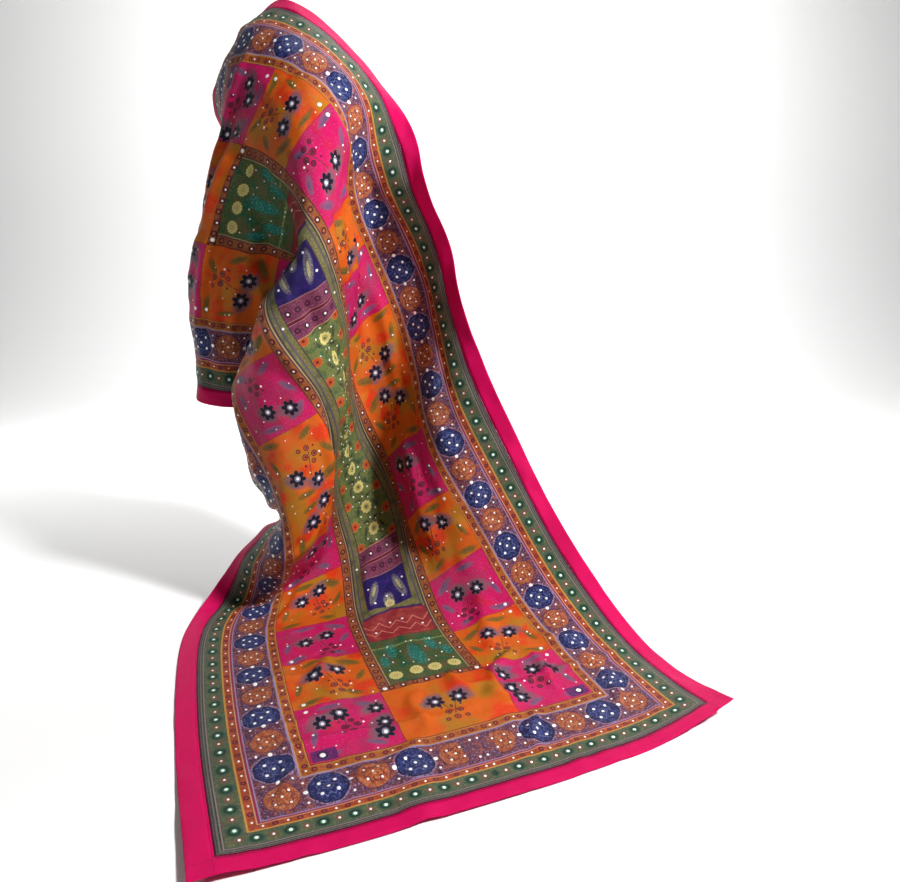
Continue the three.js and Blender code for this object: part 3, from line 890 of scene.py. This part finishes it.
verts, faces, uvs, mids = shell(edge_us, edge_vs, thick, keep=in_edge)
edge = new_object("turned_edge", verts, faces, uvs, materials=[FRONT["edge"], BACK["edge"]],
                  index=(mids[:, 2] == 1).astype(int))


# ============ mirrors and stitches
FINE_POINTS = cloth_points(us, vs)[0]


def on_cloth(u, v):
    """Point, the directions of u and v, and the normal of the printed side at (u, v)."""
    i = int(np.clip(np.searchsorted(us, u) - 1, 0, len(us) - 2))
    j = int(np.clip(np.searchsorted(vs, v) - 1, 0, len(vs) - 2))
    s, t = (u - us[i]) / (us[i + 1] - us[i]), (v - vs[j]) / (vs[j + 1] - vs[j])
    q = FINE_POINTS[i:i + 2, j:j + 2]
    p = (q[0, 0] * (1 - s) + q[1, 0] * s) * (1 - t) + (q[0, 1] * (1 - s) + q[1, 1] * s) * t
    tu = (q[1, 0] - q[0, 0]) * (1 - t) + (q[1, 1] - q[0, 1]) * t
    tv = (q[0, 1] - q[0, 0]) * (1 - s) + (q[1, 1] - q[1, 0]) * s
    n = np.cross(tu, tv)
    n /= np.linalg.norm(n)
    tu /= np.linalg.norm(tu)
    return p, tu, np.cross(n, tu), n


def four(X, Y):
    """The places that the print repeats (X, Y) at, X from a long edge and Y from an end."""
    xs = {round(X, 3), round(WIDTH - X, 3)}
    ys = {round(Y, 3), round(LENGTH - Y, 3)}
    return [(x, y) for x in sorted(xs) for y in sorted(ys)]


def border_places(step, shift, inset):
    """Places along the border, step apart in medallion pitches, at inset in from the edge."""
    out = []
    for k in range(200):
        t = (k + shift) * step - 1.5
        y = MEDALLION_UP + t * PITCH_SIDE
        dy = min(y * NARROW, y + SHIFT)
        if y <= LENGTH / 2 + 0.1 and dy > inset - 1:
            out += four(inset, y)
        x = MEDALLION_IN + t * PITCH_END
        up = max(inset - SHIFT, inset / NARROW)
        if x <= WIDTH / 2 + 0.1 and x > inset + 1:
            out += four(x, up)
    return out


def mirror_places():
    """(u, v, radius) of every mirror and sequin."""
    out = []

    def add(r, places):
        out.extend((u, v, r) for u, v in places)

    def dot(r, *spots):
        for x, y in spots:
            add(r, four(x, y))

    add(3.1, border_places(2 / 3, 0.25, BAND_IN))  # middles of the ringed dots
    add(2.3, border_places(2 / 3, 0.75, BAND_IN))
    add(2.0, border_places(0.5, 0.0, RED_IN))
    add(4.2, [p for p in border_places(1.0, 0.0, MEDALLION_IN)
              if not (abs(p[0] - 500) < 40 and min(p[1], LENGTH - p[1]) < 150)])  # between medallions
    add(2.4, border_places(1.0, 0.0, MEDALLION_IN - 24) + border_places(1.0, 0.0, MEDALLION_IN + 24))
    add(2.2, border_places(2 / 3, 0.25, GOLD_IN))
    medallions = [(MEDALLION_IN, MEDALLION_UP + k * PITCH_SIDE, k) for k in range(15)]
    medallions += [(MEDALLION_IN + k * PITCH_END, MEDALLION_UP, k) for k in range(1, 5)]
    for x, y, k in medallions:  # on the medallions
        r, ring = (3.1, 13.5) if k % 2 else (2.3, 12.5)
        for du, dv in ((0, 0), (ring, ring), (-ring, ring), (ring, -ring), (-ring, -ring)):
            if y + dv <= LENGTH / 2 + 0.1 or k < 14:
                dot(r, (x + du, y + dv))
    for k, (one, two, berries) in enumerate(PATCHES):  # middles of the flowers
        up = FIELD_UP + k * PATCH
        dot(3.5, *[(FIELD_IN + a, up + b) for a, b in (one, two)])
        dot(2.6, (FIELD_IN + berries[0] + 24, up + berries[1] + 14))
        dot(2.4, (FIELD_IN + 20, up + 78))
        for a, b in ((14, 40), (52, 30), (84, 150), (130, 74), (156, 140), (36, 132), (120, 160), (70, 58)):
            dot(1.5, (FIELD_IN + a + 3 * (k % 3), up + (b + 23 * k) % 160 + 5))  # small sequins
        if k in (1, 2, 4):
            dot(4.4, (FIELD_IN + 21, up + 13), (FIELD_IN + 21, up - 13))
    for r, spots in ((3.2, CORNER_FLOWERS), (5.4, [CORNER_BLOCK]), (3.5, [MIDDLE_PATCH[0]])):
        dot(r, *[(FIELD_IN + a, FIELD_UP + b) for a, b in spots])
    dot(5.0, (FRAME_IN, PANEL_UP + 9))
    for k in range(1, 16):  # every other ring of the gold frame
        dot(2.3, (FRAME_IN, 396 + RING_STEP * (2 * k + 0.5)))
    dot(2.4, (436, PANEL_UP + 9), (487, PANEL_UP + 9))
    mid = (MAUVE + MEADOW) / 2
    dot(3.0, (452, mid - 21), (476, mid + 21), (428, mid + 2))
    dot(3.0, (462, VIOLET + 34), (497, VIOLET + 52), (452, VIOLET + 84))
    dot(3.2, (440, ARCH + 34), (484, ARCH + 66))
    for x, y in ((426, 54), (442, 84), (462, 70), (482, 62), (470, 118), (448, 150), (494, 150), (432, 120)):
        dot(1.7, (x, GREEN + y))  # over the green block
    for k in range(6):  # round the cream flowers of the meadow
        y = MEADOW + 36 + FLOWER_STEP * k
        dot(2.3, (476, y - 16), (500, y - 30))
        dot(1.5, (464, y + 22), (486, y + 20))
    kept = []
    for u, v, r in sorted(out, key=lambda q: -q[2]):  # none on top of another
        if all((u - a) ** 2 + (v - b) ** 2 > (r + s + 1.2) ** 2 for a, b, s in kept):
            kept.append((u, v, r))
    return kept


def mirrors():
    """Small round mirrors, slightly domed, sunk a little in the cloth."""
    verts, faces, uvs, sides = [], [], [], 8
    for u, v, r in mirror_places():
        if not (us[0] < u < us[-1] and vs[0] < v < vs[-1]):
            continue
        p, tu, tv, n = on_cloth(u, v)
        start = len(verts)
        for reach, up in ((1.0, CLOTH / 2 - 0.15), (1.0, CLOTH / 2 + 0.35), (0.72, CLOTH / 2 + 0.75)):
            for k in range(sides):
                a = 2 * math.pi * (k + 0.5) / sides
                verts.append(p + (tu * math.cos(a) + tv * math.sin(a)) * r * reach + n * up)
        verts += [p + n * (CLOTH / 2 - 0.15), p + n * (CLOTH / 2 + 0.85)]
        uvs += [(u / WIDTH, v / LENGTH)] * (3 * sides + 2)
        low, top = start + 3 * sides, start + 3 * sides + 1
        for k in range(sides):
            m = (k + 1) % sides
            faces.append((low, start + m, start + k))
            for ring in (0, 1):
                o = start + ring * sides
                faces.append((o + k, o + m, o + m + sides, o + k + sides))
            faces.append((start + 2 * sides + k, start + 2 * sides + m, top))
    mat = bpy.data.materials.new("mirror_work")
    mat.use_nodes = True
    t = mat.node_tree
    noise = fill(t, t.nodes.new("ShaderNodeTexNoise"), {"Scale": 240})
    worn = fill(t, t.nodes.new("ShaderNodeMapRange"), {0: noise.outputs[0], "To Min": 0.22, "To Max": 0.5})
    fill(t, t.nodes["Principled BSDF"],
         {"Roughness": worn.outputs[0], "Base Color": rgb(250, 249, 246), "Metallic": 0.3})
    return new_object("mirrors", verts, faces, uvs, smooth=False, materials=[mat])


def stitches():
    """Small stitches that hold the turned edge to the cloth, a little inside the seam."""
    inset_u, inset_v, run = SIDE_EDGE + 2.2, END_EDGE + 2.2, []
    for y in np.arange(inset_v + 3, LENGTH - inset_v - 3, 6.4):
        run += [(inset_u, y, 0), (WIDTH - inset_u, y, 0)]
    for x in np.arange(inset_u + 3, WIDTH - inset_u - 3, 6.4):
        run += [(x, inset_v, 1), (x, LENGTH - inset_v, 1)]
    verts, faces, uvs = [], [], []
    for u, v, along_u in run:
        p, tu, tv, n = on_cloth(u, v)
        e, w = (tu, tv) if along_u else (tv, tu)
        s = len(verts)
        for a, h in ((-1.9, -0.1), (0, 0.45), (1.9, -0.1)):
            for b in (-0.42, 0.42):
                verts.append(p + e * a + w * b + n * (CLOTH / 2 + h))
        for b in (-0.42, 0.42):
            verts.append(p + w * b + n * (CLOTH / 2 - 0.25))
        faces += [(s, s + 1, s + 3, s + 2), (s + 2, s + 3, s + 5, s + 4), (s, s + 2, s + 4, s + 6),
                  (s + 1, s + 7, s + 5, s + 3), (s, s + 6, s + 7, s + 1), (s + 4, s + 5, s + 7, s + 6)]
        uvs += [(u / WIDTH, v / LENGTH)] * 8
    g = Print("stitch_thread", (150, 10, 66))
    g.paint(g.noise(900.0, 1.0) > 0.5, (190, 30, 96))
    return new_object("edge_stitches", verts, faces, uvs, smooth=False, materials=[g.finish(rough=0.6)])


def outward(ob):
    bm = bmesh.new()
    bm.from_mesh(ob.data)
    bmesh.ops.recalc_face_normals(bm, faces=bm.faces)
    bm.to_mesh(ob.data)
    bm.free()


mirror_work, seam_work = mirrors(), stitches()
outward(seam_work)
outward(mirror_work)

for ob in (panel, edge, mirror_work, seam_work):
    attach(ob, "root")
STRETCHES = ("train", "fall", "front", "arm")
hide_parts(*["panel_" + s for s in STRETCHES])
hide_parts("edge_bottom_end", "edge_top_end",
            *["edge_left_" + s for s in STRETCHES], *["edge_right_" + s for s in STRETCHES])

# ============ stage, light and camera
FLOOR_TOP, BEND_AT, BEND, BEND_STEPS = FLOOR_Z - 0.6, 2600, 1800, 12  # the floor runs up in one curve
LIGHTS = [
    # name, place, aim, size, watts
    ("key", (2.15, -1.5, 1.1), (0.1, -0.2, -0.8), 0.4, 155),
    ("side", (-2.2, -2.2, 0.8), (0.1, -0.1, -0.7), 0.9, 9),
    ("left floor", (-1.9, 1.2, -0.4), (-1.2, 0.5, -1.4), 0.8, 7),
    ("floor wash", (1.0, 2.2, 2.4), (0.6, 3.0, -1.4), 2.6, 60),
    ("backdrop wash", (0.3, 1.3, 2.2), (0.3, 4.4, 0.4), 2.6, 130),
]


def stage():
    """A pale floor that runs up into a pale backdrop."""
    profile = [(-5000, FLOOR_TOP), (BEND_AT, FLOOR_TOP)]
    for k in range(1, BEND_STEPS + 1):
        a = math.pi / 2 * k / BEND_STEPS
        profile.append((BEND_AT + BEND * math.sin(a), FLOOR_TOP + BEND * (1 - math.cos(a))))
    profile.append((BEND_AT + BEND, 5000))
    verts = [(x, y, z) for x in (-7000, 8000) for y, z in profile]
    n = len(profile)
    mat = bpy.data.materials.new("pale_floor")
    mat.use_nodes = True
    t = mat.node_tree
    noise = fill(t, t.nodes.new("ShaderNodeTexNoise"), {"Scale": 3})
    mix = t.nodes.new("ShaderNodeMix")
    mix.data_type = "RGBA"
    fill(t, mix, {"Factor": noise.outputs[0], 6: rgb(247, 247, 246), 7: rgb(250, 250, 250)})
    fill(t, t.nodes["Principled BSDF"],
         {"Base Color": mix.outputs[2], "Roughness": 0.9, "Specular IOR Level": 0.1})
    new_object("floor_and_backdrop", verts, [(k, k + n, k + n + 1, k + 1) for k in range(n - 1)],
                        materials=[mat])


def area_light(name, place, aim, size, power):
    data = bpy.data.lights.new(name, "AREA")
    data.shape, data.size, data.energy = "DISK", size, power
    ob = bpy.data.objects.new(name, data)
    bpy.context.collection.objects.link(ob)
    ob.location = place
    away = np.subtract(place, aim)
    ob.rotation_euler = (math.atan2(math.hypot(away[0], away[1]), away[2]), 0, math.atan2(away[0], -away[1]))


stage()
for light in LIGHTS:
    area_light(*light)
world = bpy.data.worlds.new("studio")
bpy.context.scene.world = world
world.use_nodes = True
fill(world.node_tree, world.node_tree.nodes["Background"], {"Color": (1, 1, 1, 1), "Strength": 0.05})
bpy.context.scene.view_settings.view_transform = "Standard"

camera = bpy.data.cameras.new("camera")
camera.lens, camera.sensor_width = 28.0, 36.0
camera.clip_end = 50
cam = bpy.data.objects.new("camera", camera)
bpy.context.collection.objects.link(cam)
cam.location = (0.38, -1.78, -0.59)
cam.rotation_euler = (math.radians(90 - 13.4), 0, 0)
bpy.context.scene.camera = cam
